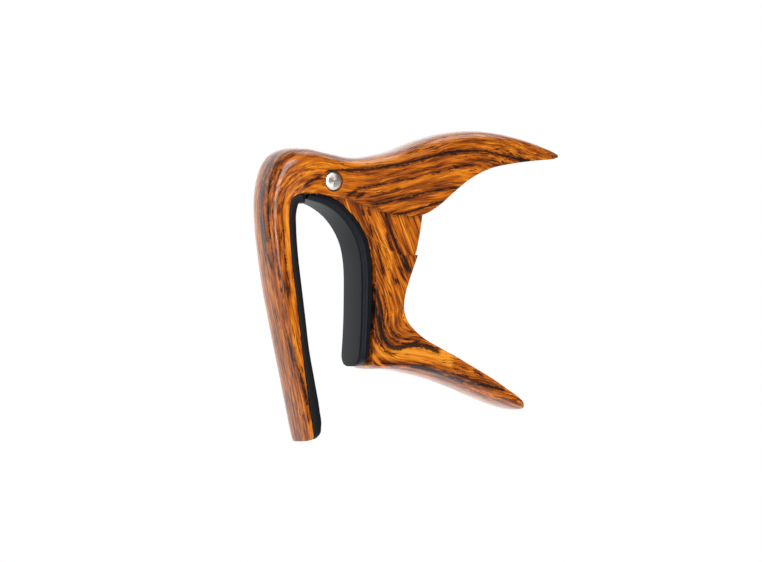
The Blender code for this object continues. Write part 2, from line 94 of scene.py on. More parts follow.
class Graph:
    """Short calls for one material's nodes. A value is a number or another node's output."""

    def __init__(self, name):
        self.material = bpy.data.materials.new(name)
        self.material.use_nodes = True
        self.tree = self.material.node_tree
        self.shader = self.tree.nodes["Principled BSDF"]

    def node(self, kind, **settings):
        made = self.tree.nodes.new(kind)
        for key, value in settings.items():
            setattr(made, key, value)
        return made

    def feed(self, socket, value):
        if isinstance(value, bpy.types.NodeSocket):
            self.tree.links.new(value, socket)
        else:
            socket.default_value = value

    def math(self, operation, *values, clamp=False):
        made = self.node("ShaderNodeMath", operation=operation, use_clamp=clamp)
        for socket, value in zip(made.inputs, values):
            self.feed(socket, value)
        return made.outputs[0]

    def add(self, *values):
        total = values[0]
        for value in values[1:]:
            total = self.math("ADD", total, value)
        return total

    def times(self, *values):
        total = values[0]
        for value in values[1:]:
            total = self.math("MULTIPLY", total, value)
        return total

    def minus(self, a, b):
        return self.math("SUBTRACT", a, b)

    def most(self, *values):
        total = values[0]
        for value in values[1:]:
            total = self.math("MAXIMUM", total, value)
        return total

    def vector(self, x, y, z):
        made = self.node("ShaderNodeCombineXYZ")
        for socket, value in zip(made.inputs, (x, y, z)):
            self.feed(socket, value)
        return made.outputs[0]

    def place(self):
        """Object coordinates in millimetres from the pivot, as three values."""
        source = self.node("ShaderNodeTexCoord").outputs["Object"]
        moved = self.node("ShaderNodeVectorMath", operation="SUBTRACT")
        self.feed(moved.inputs[0], source)
        self.feed(moved.inputs[1], PIVOT)
        scaled = self.node("ShaderNodeVectorMath", operation="SCALE")
        self.feed(scaled.inputs[0], moved.outputs[0])
        scaled.inputs["Scale"].default_value = 1 / MM
        split = self.node("ShaderNodeSeparateXYZ")
        self.feed(split.inputs[0], scaled.outputs[0])
        return tuple(split.outputs)

    def noise(self, lengths, values, detail=2.0, seed=0.0):
        """Noise from 0 to 1 with a feature size in millimetres along each value."""
        pairs = zip(values, lengths)
        scaled = [self.math("MULTIPLY_ADD", value, 1 / length, seed) for value, length in pairs]
        made = self.node("ShaderNodeTexNoise")
        self.feed(made.inputs["Vector"], self.vector(*scaled))
        made.inputs["Scale"].default_value = 1.0
        made.inputs["Detail"].default_value = detail
        return made.outputs["Fac"]

    def steps(self, value, low, high, to_low=0.0, to_high=1.0):
        """Smooth change from one value to another as the input goes from low to high."""
        made = self.node("ShaderNodeMapRange", interpolation_type="SMOOTHSTEP")
        for key, number in (("Value", value), ("From Min", low), ("From Max", high)):
            self.feed(made.inputs[key], number)
        made.inputs["To Min"].default_value = to_low
        made.inputs["To Max"].default_value = to_high
        return made.outputs[0]

    def curve(self, value, points):
        """A smooth curve through (input, output) points, level beyond its ends."""
        inputs, outputs = zip(*points)
        low, high = min(outputs), max(outputs)
        spread = max(high - low, 1e-6)
        start, length = inputs[0], inputs[-1] - inputs[0]
        made = self.node("ShaderNodeFloatCurve")
        share = self.math("MULTIPLY_ADD", value, 1 / length, -start / length, clamp=True)
        self.feed(made.inputs["Value"], share)
        line = made.mapping.curves[0].points
        line[0].location = (0, (outputs[0] - low) / spread)
        line[1].location = (1, (outputs[-1] - low) / spread)
        for x, y in points[1:-1]:
            line.new((x - start) / length, (y - low) / spread)
        made.mapping.update()
        return self.math("MULTIPLY_ADD", made.outputs[0], spread, low)

    def colours(self, value, stops):
        made = self.node("ShaderNodeValToRGB")
        self.feed(made.inputs["Fac"], value)
        ramp = made.color_ramp
        ramp.elements[0].position, ramp.elements[0].color = stops[0]
        ramp.elements[1].position, ramp.elements[1].color = stops[-1]
        for position, colour in stops[1:-1]:
            ramp.elements.new(position).color = colour
        return made.outputs["Color"]

    def blend(self, share, a, b):
        """The first colour where the share is 0 and the second where it is 1."""
        made = self.node("ShaderNodeMix", data_type="RGBA")
        self.feed(made.inputs["Factor"], share)
        self.feed(made.inputs[6], a)
        self.feed(made.inputs[7], b)
        return made.outputs[2]

    def bump(self, height, distance, strength=1.0):
        made = self.node("ShaderNodeBump")
        made.inputs["Distance"].default_value = distance
        made.inputs["Strength"].default_value = strength
        self.feed(made.inputs["Height"], height)
        self.tree.links.new(made.outputs["Normal"], self.shader.inputs["Normal"])

    def set(self, **values):
        """Values of the shader's own inputs, spaces in their names written as _."""
        for key, value in values.items():
            self.feed(self.shader.inputs[key.replace("_", " ")], value)


# ---------------------------------------------------------------- wood print

PALE_GOLD = srgb(240, 152, 44)
GOLDEN = srgb(224, 128, 22)
AMBER = srgb(190, 98, 10)
BROWN = srgb(138, 64, 8)
UMBER = srgb(84, 36, 8)
NEAR_BLACK = srgb(22, 12, 8)

# The corner that the grain turns about, and how the grain's lines bend beside each leg
FRAME_LEG_BEND = ((-70, 11.9), (-54, 8.6), (-37, 4.6), (-20, 1.3), (-8, 0), (0, 0))
FRAME_HANDLE_BEND = (
    (-12, 0.2), (-4, 0), (1, -0.8), (8, -1.1), (15, -0.3), (22, 1.0), (31, 2.8), (39, 4.1), (47, 4.2),
    (54, 3.1), (61, 1.5), (72, -0.6),
)
JAW_LEG_BEND = ((-34, 0), (-30, -1.2), (-24, -3.9), (-8, -11), (0, -14))
JAW_HANDLE_BEND = ((20, 0), (26, -0.2), (32, -1.3), (48, -4.9), (60, -8.2))
# Corner, bends, length of a quarter turn's radius, how square the turn is, whether the handle is on top
FRAME_GRAIN = ((-4.0, -9.0), FRAME_LEG_BEND, FRAME_HANDLE_BEND, 11, 2.0, True)
JAW_GRAIN = ((26, -33.5), JAW_LEG_BEND, JAW_HANDLE_BEND, 10, 3.0, False)

# Dark veins: what they run along, their points, half width, and how patchy they are from 0 to 1.
# The points are (x, z) on a vein along "x", (z, x) on one along "z", both on the side faces only,
# (along the grain, y) on one that goes "over" the outer face, and (along, across) on one in the "flow".
FRAME_VEINS = (
    ("x", ((-3, 2.2), (0.7, 2.9), (8.3, 3.0), (13.3, 3.5), (22.2, 4.9), (31.1, 6.8), (35.2, 7.8),
           (39.3, 8.0), (45.8, 8.1), (49.6, 7.5), (56.2, 6.2), (62, 5.3)), 0.3, 0.1),
    ("x", ((26, 5.3), (31.1, 6.2), (35.2, 7.2), (39.3, 7.4), (45.8, 7.5), (52, 6.6)), 0.26, 0.75),
    ("x", ((6.5, -1.8), (13.3, -1.0), (19.7, 0.3), (24.8, 0.9), (29.8, 2.0), (37.1, 3.6), (43.6, 4.7)),
     0.22, 0.6),
    ("x", ((11, -6.2), (14.1, -5.8), (21, -4.6), (24, -4.2)), 0.26, 0.4),
    ("x", ((23, -4.3), (27.8, -3.0), (33.5, -2.0), (38, -1.7)), 0.26, 0.4),
    ("x", ((17, -8.9), (19.7, -8.6), (23, -8.1), (27.3, -6.8), (31.1, -5.7), (34.5, -5.1)), 0.34, 0.3),
    ("x", ((3.4, -4.4), (5.2, -3.3), (7.2, -2.4)), 0.26, 0.4),
    ("x", ((6.4, -4.6), (8.2, -3.6), (9.6, -3.0)), 0.24, 0.4),
    ("x", ((14, -3.0), (17.5, -2.2), (20.5, -1.8)), 0.22, 0.5),
    ("x", ((-9.4, -2.4), (-8.6, -1.0), (-6.6, 0.2), (-3.4, 1.6)), 0.3, 0.35),
    ("over", ((-32, -3.3), (-29, -2.6), (-23.7, -1.5), (-16, -1.1), (-8, -1.2), (2, -1.6)), 0.3, 0.3),
    ("over", ((-30, -2.0), (-23.7, -0.8), (-14, -0.4), (-4, -0.6)), 0.2, 0.45),
    ("over", ((-25, -2.6), (-20, -2.2), (-14, -1.9), (-2, -2.1)), 0.2, 0.45),
    ("over", ((-30, -4.3), (-22, -4.0), (-14, -3.8), (-7, -3.7)), 0.2, 0.5),
    ("z", ((-61, -6.3), (-51.2, -9.2), (-41.9, -12.7), (-34.4, -14.8)), 0.26, 0.4),
    ("z", ((-64, -6.6), (-57, -7.6), (-50, -10.0), (-43, -11.9)), 0.16, 0.6),
    ("z", ((-31, -12.6), (-24, -13.4), (-17, -14.2), (-12, -14.6)), 0.26, 0.7),
)
JAW_VEINS = (
    ("z", ((-24.5, 23.9), (-20.5, 21.9), (-18, 20.6), (-15.2, 19.3), (-12.4, 18.0), (-8.5, 16.6),
           (-6, 16.2)), 0.4, 0.15),
    ("z", ((-24.5, 23.3), (-22, 21.9), (-19.5, 21.0)), 0.45, 0.2),
    ("z", ((-18.8, 19.4), (-15.5, 17.6), (-13, 16.9)), 0.22, 0.5),
    ("z", ((-9.2, 10.1), (-7.2, 9.4)), 0.2, 0.2),
    ("z", ((-9.2, 12.0), (-7.4, 11.2)), 0.2, 0.2),
    ("z", ((-14.2, 12.6), (-11, 11.9)), 0.22, 0.3),
    ("z", ((-25.2, 15.5), (-22, 14.7), (-16.5, 13.4)), 0.22, 0.4),
    ("z", ((-26.5, 22.2), (-22, 19.7)), 0.2, 0.3),
    ("flow", ((-22, 13.3), (-15.7, 12.9), (-12, 11.9), (-8, 11.9), (-5, 11.0), (-1.5, 9.7), (2, 9.7),
              (7, 10.1)), 0.75, 0.25),
    ("flow", ((-16, 14.2), (-12, 13.6), (-7.5, 13.4), (-4.5, 12.3)), 0.2, 0.35),
    ("flow", ((-24, 11.3), (-16, 11.2), (-10, 10.4), (-4, 9.6), (1, 8.4)), 0.3, 0.45),
    ("flow", ((-20, 9.8), (-14, 9.4), (-8, 8.9), (-2, 8.0)), 0.22, 0.55),
    ("x", ((23, -48.6), (28.3, -49.5), (34.9, -51.5), (41.6, -53.2), (48.3, -54.2), (53, -55.3)),
     0.45, 0.35),
    ("x", ((32.5, -50.0), (36, -50.8), (42, -51.9)), 0.22, 0.3),
    ("x", ((42.6, -49.7), (46.3, -51.7)), 0.3, 0.4),
    ("x", ((14, -48.0), (20, -48.2), (29, -49.1)), 0.22, 0.6),
)

# Golden bands: what they run along, points of the same form, half width, and how much lighter they are
FRAME_GOLD = (
    ("z", ((-52, -8.6), (-45, -10.0), (-30, -12.0), (-15, -13.3), (-6, -13.9)), 0.9, 0.3),
    ("x", ((-9, 3.5), (-4, 4.6), (4, 4.4), (12, 5.0), (22, 6.6)), 0.9, 0.25),
)
JAW_GOLD = (
    ("x", ((12.4, -44.6), (20, -45.2), (30, -46.0), (37, -47.8)), 1.9, 0.5),
    ("z", ((-36, 17.5), (-28, 16.5), (-22, 17.3), (-12, 14.6)), 0.9, 0.25),
)
# Distances from the mid-plane at which a vein along x or z starts and is whole
VEIN_SIDES = {"x": (2.2, 3.0), "z": (3.7, 4.5)}
DRIFT, RIPPLE = 3.2, 0.8  # how far the grain strays slowly, and in short ripples
JAG = 0.9  # how far a vein's edges fray
BROAD_SHARE, STREAK_SHARE, FIBRE_SHARE = 0.4, 0.95, 0.65  # of the wood's tone
SHADE_DEPTH = 0.22  # how much browner the wood is beside a vein
VEIN_COVER = 0.93  # how nearly black veins and pores are
HEAD_SHADE_RADII = (2.6, 2.78)  # radii between which the painted shade in the gap round the pin's head fades out


def flow(graph, place, grain):
    """Along and across the grain, which runs down one leg, round a corner and out along the handle."""
    corner, leg_bend, handle_bend, radius, squareness, upward = grain
    x, _, z = place
    past_leg = graph.minus(corner[0], graph.minus(x, graph.curve(z, leg_bend)))
    past_handle = graph.minus(graph.minus(z, graph.curve(x, handle_bend)), corner[1])
    if not upward:
        past_handle = graph.times(past_handle, -1.0)
    leg = graph.math("MAXIMUM", past_leg, 0.0)
    handle = graph.math("MAXIMUM", past_handle, 0.0)
    powers = graph.add(graph.math("POWER", leg, squareness), graph.math("POWER", handle, squareness))
    outside = graph.math("POWER", powers, 1 / squareness)
    inside = graph.math("MINIMUM", graph.math("MAXIMUM", past_leg, past_handle), 0.0)
    angle = graph.math("ARCTAN2", leg, graph.add(handle, 0.001))
    along_handle = graph.math("MAXIMUM", graph.times(past_leg, -1.0), 0.0)
    along_leg = graph.math("MAXIMUM", graph.times(past_handle, -1.0), 0.0)
    along = graph.minus(graph.minus(along_handle, graph.times(angle, radius)), along_leg)
    return along, graph.add(outside, inside)


def vein(graph, run, side, points, half_width, jag):
    """A line through the points and the softer shade beside it, each 1 there and 0 away from it."""
    away = graph.math("ABSOLUTE", graph.add(graph.minus(side, graph.curve(run, points)), jag))
    line = graph.steps(away, half_width * 0.55, half_width * 1.35, 1.0, 0.0)
    shade = graph.steps(away, half_width, half_width + 0.9, 1.0, 0.0)
    start, end = points[0][0], points[-1][0]
    fade = min(1.2, 0.3 * (end - start))
    rise = graph.steps(run, start - 0.3, start + fade)
    fall = graph.steps(run, end - fade, end + 0.3, 1.0, 0.0)
    return graph.times(line, rise, fall), graph.times(shade, rise, fall)


def wavy_across(graph, along, across, y):
    """Across the grain, straying slowly and in short ripples, so that no streak is straight."""
    drift = graph.noise((24, 8, 8), (along, across, y), 2)
    drifted = graph.add(across, graph.times(graph.minus(drift, 0.5), DRIFT))
    ripple = graph.noise((5, 1.6, 1.6), (along, across, y), 3, 4.3)
    return graph.add(drifted, graph.times(graph.minus(ripple, 0.5), RIPPLE))


def pores(graph, along, across, wavy, y):
    """Short dark dashes along the grain, in patches."""
    dashes = graph.steps(graph.noise((3.4, 0.34, 0.34), (along, wavy, y), 1, 6.2), 0.6, 0.66)
    patches = graph.steps(graph.noise((12, 2.6, 2.6), (along, across, y), 1, 9.4), 0.42, 0.56)
    return graph.times(dashes, patches)


def dark_veins(graph, veins, directions, y, jag):
    """All the veins of a table: their lines with gaps in them, and the shade beside them."""
    along, across = directions["flow"]
    off_middle = graph.math("ABSOLUTE", y)
    on_sides = {kind: graph.steps(off_middle, *depths) for kind, depths in VEIN_SIDES.items()}
    lines, shades = 0.0, 0.0
    for kind, points, half_width, patchy in veins:
        line, shade = vein(graph, *directions[kind], points, half_width, jag)
        gaps = graph.noise((2.6, 0.7, 0.7), (along, across, y), 2, 12.5 + half_width)
        line = graph.times(line, graph.steps(gaps, 0.2 + 0.35 * patchy, 0.32 + 0.35 * patchy))
        if kind in on_sides:
            line, shade = graph.times(line, on_sides[kind]), graph.times(shade, on_sides[kind])
        lines = graph.most(lines, line)
        shades = graph.most(shades, shade)
    return lines, shades


def golden_bands(graph, golden, directions, jag):
    """How much lighter the bands of a table make the wood."""
    bands = []
    for kind, points, half_width, amount in golden:
        band, _ = vein(graph, *directions[kind], points, half_width, jag)
        bands.append(graph.times(band, amount))
    return graph.add(*bands)


def wood(name, grain, veins, golden, lightness, contrast):
    """Gloss lacquer over a printed film of striped golden wood."""
    graph = Graph(name)
    place = graph.place()
    x, y, z = place
    along, across = flow(graph, place, grain)
    wavy = wavy_across(graph, along, across, y)
    jag = graph.times(graph.minus(graph.noise((0.8, 0.7, 0.7), (x, z, y), 3, 1.7), 0.5), JAG)
    directions = {"x": (x, z), "z": (z, x), "over": (along, y), "flow": (along, across)}

    broad = graph.noise((45, 3.0, 3.0), (along, wavy, y), 1, 2.1)
    streak = graph.noise((9.5, 0.72, 0.72), (along, wavy, y), 3, 5.9)
    fibre = graph.noise((4.6, 0.28, 0.28), (along, wavy, y), 2, 8.8)
    layers = ((broad, BROAD_SHARE), (streak, STREAK_SHARE), (fibre, FIBRE_SHARE))
    tone = graph.add(*(graph.times(layer, share) for layer, share in layers))
    tone = graph.math("MULTIPLY_ADD", tone, contrast, lightness - contrast)
    lines, shades = dark_veins(graph, veins, directions, y, jag)
    tone = graph.minus(tone, graph.times(shades, SHADE_DEPTH))
    tone = graph.add(tone, golden_bands(graph, golden, directions, jag))
    ground = graph.colours(
        tone, ((0.0, UMBER), (0.25, BROWN), (0.52, AMBER), (0.78, GOLDEN), (1.0, PALE_GOLD))
    )

    # Painted shade: a thin ring round the pin's head is painted near black where the gap and its
    # counterbore lie in shadow
    radius_squared = graph.add(graph.times(x, x), graph.times(z, z))
    gap_shade = graph.steps(radius_squared, HEAD_SHADE_RADII[0] ** 2, HEAD_SHADE_RADII[1] ** 2, 1.0, 0.0)
    marks = graph.most(pores(graph, along, across, wavy, y), lines)
    dark = graph.most(graph.times(marks, VEIN_COVER), gap_shade)
    graph.set(Base_Color=graph.blend(dark, ground, NEAR_BLACK))
    graph.set(Roughness=graph.steps(fibre, 0.2, 0.8, 0.3, 0.4), Specular_IOR_Level=0.12)
    graph.set(Coat_Weight=1.0, Coat_Roughness=0.15, Coat_IOR=1.5)
    relief = graph.add(graph.times(fibre, 0.35), graph.times(dark, -0.4))
    graph.bump(relief, 0.03 * MM, 0.35)
    return graph.material


# ---------------------------------------------------------------- rubber, silicone and metals


def rubber(name, colour, lighter, roughness, gloss):
    """Moulded rubber: faint mottling, fine grain and a satin surface."""
    graph = Graph(name)
    x, y, z = graph.place()
    mottle = graph.noise((6, 6, 6), (x, y, z), 3, 0.7)
    grain = graph.noise((0.16, 0.16, 0.16), (x, y, z), 3, 3.9)
    graph.set(Base_Color=graph.blend(mottle, colour, lighter))
    graph.set(Roughness=graph.steps(grain, 0.25, 0.75, roughness - 0.05, roughness + 0.06))
    graph.set(Specular_IOR_Level=gloss)
    graph.bump(graph.add(grain, graph.times(mottle, 0.8)), 0.02 * MM, 0.4)
    return graph.material


def turned_steel(name):
    """Steel with fine rings from the lathe about the pivot axis."""
    graph = Graph(name)
    x, y, z = graph.place()
    radius = graph.math("SQRT", graph.add(graph.times(x, x), graph.times(z, z)))
    rings = graph.noise((0.3, 1, 1), (radius, 0.0, 0.0), 2, 1.1)
    wear = graph.noise((0.8, 1, 1), (radius, 0.0, 0.0), 2, 5.5)
    graph.set(Base_Color=graph.blend(wear, srgb(226, 222, 216), srgb(236, 232, 226)))
    graph.set(Metallic=1.0, Roughness=graph.steps(wear, 0.3, 0.7, 0.3, 0.36))
    graph.set(Anisotropic=0.9)
    tangent = graph.node("ShaderNodeTangent", direction_type="RADIAL", axis="Y")
    graph.feed(graph.shader.inputs["Tangent"], tangent.outputs[0])
    graph.bump(rings, 0.004 * MM, 0.25)
    return graph.material


def drawn_wire(name):
    """Spring wire with faint drawing marks and a thin oil film."""
    graph = Graph(name)
    x, y, z = graph.place()
    marks = graph.noise((0.12, 0.12, 0.12), (x, y, z), 3, 2.4)
    stain = graph.noise((1.6, 1.6, 1.6), (x, y, z), 2, 7.7)
    graph.set(Base_Color=graph.blend(stain, srgb(112, 112, 116), srgb(160, 158, 154)))
    graph.set(Metallic=1.0, Roughness=graph.steps(marks, 0.25, 0.75, 0.28, 0.42))
    graph.bump(marks, 0.01 * MM, 0.4)
    return graph.material


def nylon(name):
    """Pale moulded nylon, slightly mottled."""
    graph = Graph(name)
    x, y, z = graph.place()
    mottle = graph.noise((0.8, 0.8, 0.8), (x, y, z), 3, 1.9)
    graph.set(Base_Color=graph.blend(mottle, srgb(208, 203, 190), srgb(228, 224, 212)))
    graph.set(Roughness=graph.steps(mottle, 0.3, 0.7, 0.4, 0.52))
    graph.bump(mottle, 0.02 * MM, 0.3)
    return graph.material


# ---------------------------------------------------------------- pieces

# Outer x, outer z, inner x, inner z, half width and string pad thickness along the arm
ARM = (
    (-6.95, -68.6, -4.9, -68.1, 4.2, 1.0),
    (-7.1, -68.0, -4.95, -67.4, 4.7, 1.9),
    (-7.5, -66.4, -5.2, -65.7, 4.85, 2.6),
    (-8.6, -61.8, -6.1, -61.1, 4.9, 3.0),
    (-10.3, -54.5, -7.4, -53.7, 5.0, 2.8),
    (-12.3, -46.0, -8.6, -45.1, 5.1, 2.2),
    (-14.3, -37.5, -9.75, -36.6, 5.15, 2.15),
    (-16.15, -29.0, -10.9, -28.1, 5.2, 2.1),
    (-17.6, -20.5, -12.0, -19.8, 5.2, 2.1),
    (-18.6, -12.5, -12.6, -12.3, 5.25, 2.1),
    (-18.95, -6.5, -12.7, -8.0, 5.35, 2.2),
    (-18.6, -2.0, -12.2, -5.0, 5.55, 2.4),
    (-17.3, 2.8, -11.2, -3.8, 5.85, 2.5),
    (-15.0, 6.6, -10.0, -3.25, 6.2, 2.6),
    (-2.8, 5.9, -7.05, -3.1, 5.2, 2.6),
)
# Front x, front z, back x, back z down the neck pad
NECK_PAD = (
    (-7.35, -4.65, -6.8, -3.4),
    (-5.0, -5.3, -4.4, -3.45),
    (-2.0, -6.2, -1.6, -3.95),
    (0.9, -7.65, 1.9, -5.1),
    (3.6, -9.7, 5.3, -7.85),
    (6.3, -12.9, 8.6, -11.25),
    (8.2, -16.6, 11.0, -15.2),
    (9.15, -20.6, 12.15, -19.9),
    (9.5, -25.0, 12.55, -24.7),
    (9.5, -30.0, 12.55, -29.8),
    (9.4, -36.0, 12.3, -35.8),
    (9.1, -42.0, 11.9, -41.7),
    (8.85, -45.4, 11.6, -45.1),
)
NECK_PAD_END_Z = -48.9
NECK_PAD_HALF_WIDTH = 5.25
NECK_PAD_CORNER = 3.5
LEG_ON_ROOF = ((4.5, 2.95), (9.0, 3.05), (17.0, 4.0), (25.0, 6.1))
LEG_IN_JAW = ((3.0, -3.3), (5.2, -4.3), (8.5, -6.95), (12.4, -11.2), (14.9, -16.2), (15.6, -20.6))
STRING_PAD_GAP = 0.2  # between the string pad's back and the arm
RIB_HALF_WIDTH, RIB_DEPTH = 1.6, 0.8  # rib that keys the string pad into the arm
BACK_EDGE = 0.25  # radius of the edges of both pads' backs
STRING_PAD_EDGE, NECK_PAD_EDGE = 0.7, 0.75  # radii of the edges of their faces, less where they are thin
STRING_PAD_TIP, NECK_PAD_TIP, WIRE_TIP = 0.35, 0.4, 0.3  # radii that round their two ends over
PARTING_HALF_WIDTH, PARTING_HEIGHT = 0.09, 0.07  # ridge round the neck pad's sides
PARTING_FOOT = 0.22  # half width of the ridge where it leaves the side
PARTING_PLACE = 0.62  # of the way from the neck pad's back to the start of its face's edge
WIRE_RADIUS = 0.9
COIL_RADIUS = 2.9
COIL_HALF_WIDTH = 2.4
COIL_TURNS = (math.radians(93), math.radians(262) + 2 * math.tau)  # from the roof leg to the jaw leg
COIL_STEPS = 132
WIRE_SIDES = 20
STATION_STEP = 0.8  # longest stretch between two sections of a pad
FILLET = 0.3  # rounds the castings' sharp edges
CAD_SHARP_ANGLE, PIECE_SHARP_ANGLE = 38, 60  # edges that turn more than this stay sharp, in degrees


def smooth_rows(rows, step=STATION_STEP):
    """Rows of a table with others between them, on a smooth curve through them all."""
    rows = np.array(rows, float)
    lengths = np.linalg.norm(np.diff(rows[:, :4], axis=0), axis=1) / math.sqrt(2)
    slopes = np.diff(rows, axis=0) / lengths[:, None]
    before, after = lengths[:-1, None], lengths[1:, None]
    middle = (slopes[:-1] * after + slopes[1:] * before) / (before + after)
    tangents = np.vstack((slopes[:1], middle, slopes[-1:]))
    result = []
    for i, length in enumerate(lengths):
        parts = max(1, math.ceil(length / step))
        for u in np.arange(parts) / parts:
            result.append(
                (2 * u**3 - 3 * u**2 + 1) * rows[i]
                + (3 * u**2 - 2 * u**3) * rows[i + 1]
                + (u**3 - 2 * u**2 + u) * length * tangents[i]
                + (u**3 - u**2) * length * tangents[i + 1]
            )
    return result + [rows[-1]]


def loft(name, rings, surface):
    """A closed mesh through rings of points in millimetres from the pivot."""
    bm = bmesh.new()
    rows = [[bm.verts.new(Vector(point) * MM + PIVOT) for point in ring] for ring in rings]
    for ring, following in zip(rows, rows[1:]):
        for i in range(len(ring)):
            j = (i + 1) % len(ring)
            bm.faces.new((ring[i], ring[j], following[j], following[i]))
    bm.faces.new(rows[0])
    bm.faces.new(rows[-1])
    bmesh.ops.recalc_face_normals(bm, faces=bm.faces)
    mesh = bpy.data.meshes.new(name)
    bm.to_mesh(mesh)
    bm.free()
    mesh.shade_smooth()
    mesh.set_sharp_from_angle(angle=math.radians(PIECE_SHARP_ANGLE))
    mesh.materials.append(surface)
    made = bpy.data.objects.new(name, mesh)
    bpy.context.scene.collection.objects.link(made)
    return made


def arc(centre, radius, start, end, steps):
    """Points of a section on part of a circle, its angles in degrees."""
    points = []
    for i in range(steps + 1):
        turn = math.radians(start + (end - start) * i / steps)
        points.append((centre[0] + radius * math.cos(turn), centre[1] + radius * math.sin(turn)))
    return points


def mirrored(points):
    """A section's near half followed by the same points on the far side, in order round it."""
    return points + [(-y, t) for y, t in reversed(points)]


def rounded_ends(rings, radius, steps=4):
    """Rings with both ends rounded over by the radius."""
    return soft_end(soft_end(rings, radius, steps)[::-1], radius, steps)[::-1]


def soft_end(rings, radius, steps):
    """Rings whose first end is replaced by a few that narrow towards it."""
    rings = [np.array(ring, float) for ring in rings]
    reach = 0.0
    count = 1
    while reach < radius * 1.05:
        reach = np.linalg.norm(rings[count].mean(0) - rings[0].mean(0))
        count += 1
    first, second = rings[0], rings[count - 1]
    made = []
    for i in range(steps, -1, -1):
        turn = math.pi / 2 * i / steps
        ring = first + (second - first) * radius * (1 - math.sin(turn)) / reach
        centre = ring.mean(0)
        inward = centre - ring
        size = np.linalg.norm(inward, axis=1)[:, None]
        made.append(ring + inward / size * np.minimum(radius * (1 - math.cos(turn)), 0.8 * size))
    return made + rings[count - 1:]


def string_pad(surface):
    """Thin rubber strip on the arm's inner side: rounded face edges and a rib in the arm's groove."""
    rings = []
    for outer_x, outer_z, inner_x, inner_z, half_width, thickness in smooth_rows(ARM):
        inner = np.array((inner_x, inner_z))
        outward = np.array((outer_x, outer_z)) - inner
        outward /= np.linalg.norm(outward)
        back = inner - outward * STRING_PAD_GAP
        edge = min(STRING_PAD_EDGE, 0.6 * thickness)
        half = [(RIB_HALF_WIDTH, -RIB_DEPTH), (RIB_HALF_WIDTH, 0), (half_width - BACK_EDGE, 0)]
        half += arc((half_width - BACK_EDGE, BACK_EDGE), BACK_EDGE, -60, 0, 2)
        half += arc((half_width - edge, thickness - edge), edge, 0, 90, 6)
        section = mirrored(half)
        rings.append([(back[0] - outward[0] * t, y, back[1] - outward[1] * t) for y, t in section])
    return loft("string_pad_moulded", rounded_ends(rings, STRING_PAD_TIP), surface)


def neck_pad_rows():
    """Rows of the neck pad with its half width, narrowed by round corners at the square end."""
    rows = [(*row, NECK_PAD_HALF_WIDTH) for row in NECK_PAD]
    smooth = smooth_rows(rows)
    last, before = smooth[-1], smooth[-2]
    lean = (last[:4] - before[:4]) / (before[1] - last[1])
    end = last[:4] + lean * (last[1] - NECK_PAD_END_Z)
    corner_start = end - lean * NECK_PAD_CORNER
    for turn in range(0, 86, 7):
        along = math.sin(math.radians(turn))
        narrowed = NECK_PAD_CORNER * (1 - math.cos(math.radians(turn)))
        place = corner_start + (end - corner_start) * along
        smooth.append(np.array((*place, NECK_PAD_HALF_WIDTH - narrowed)))
    return smooth


def neck_pad(surface):
    """Thick silicone pad: rounded face edges, and a fine raised parting line round its sides."""
    rings = []
    for front_x, front_z, back_x, back_z, half_width in neck_pad_rows():
        back = np.array((back_x, back_z))
        toward = np.array((front_x, front_z)) - back
        thickness = np.linalg.norm(toward)
        toward /= thickness
        edge = min(NECK_PAD_EDGE, 0.4 * thickness)
        line = PARTING_PLACE * (thickness - edge)
        ridge = half_width + PARTING_HEIGHT
        half = arc((half_width - BACK_EDGE, BACK_EDGE), BACK_EDGE, -90, 0, 3)
        half += [(half_width, line - PARTING_FOOT), (ridge, line - PARTING_HALF_WIDTH)]
        half += [(ridge, line + PARTING_HALF_WIDTH), (half_width, line + PARTING_FOOT)]
        half += arc((half_width - edge, thickness - edge), edge, 0, 90, 6)
        section = mirrored(half)
        rings.append([(back[0] + toward[0] * t, y, back[1] + toward[1] * t) for y, t in section])
    return loft("neck_pad_moulded", rounded_ends(rings, NECK_PAD_TIP), surface)


def spring(surface):
    """Round wire: a leg under the handle's roof, the coil round the pin, a leg down inside the jaw."""
    start, end = COIL_TURNS
    coil = []
    for i in range(COIL_STEPS + 1):
        turn = start + (end - start) * i / COIL_STEPS
        y = -COIL_HALF_WIDTH + 2 * COIL_HALF_WIDTH * i / COIL_STEPS
        coil.append((COIL_RADIUS * math.cos(turn), y, COIL_RADIUS * math.sin(turn)))
    roof_leg = [(x, -COIL_HALF_WIDTH, z) for x, z in reversed(LEG_ON_ROOF)]
    jaw_leg = [(x, COIL_HALF_WIDTH, z) for x, z in LEG_IN_JAW]
    rings = wire_rings(roof_leg + coil + jaw_leg)
    return loft("torsion_spring_wire", rounded_ends(rings, WIRE_TIP), surface)


def wire_rings(path):
    """Rings of a round wire along a path."""
    points = [np.array(point, float) for point in path]
    rings = []
    normal = None
    for i, point in enumerate(points):
        along = points[min(i + 1, len(points) - 1)] - points[max(i - 1, 0)]
        along /= np.linalg.norm(along)
        if normal is None:
            normal = np.cross(along, (0, 1, 0))
        normal = normal - along * np.dot(normal, along)
        normal /= np.linalg.norm(normal)
        other = np.cross(along, normal)
        turns = [math.tau * k / WIRE_SIDES for k in range(WIRE_SIDES)]
        rings.append([point + WIRE_RADIUS * (normal * math.cos(t) + other * math.sin(t)) for t in turns])
    return rings


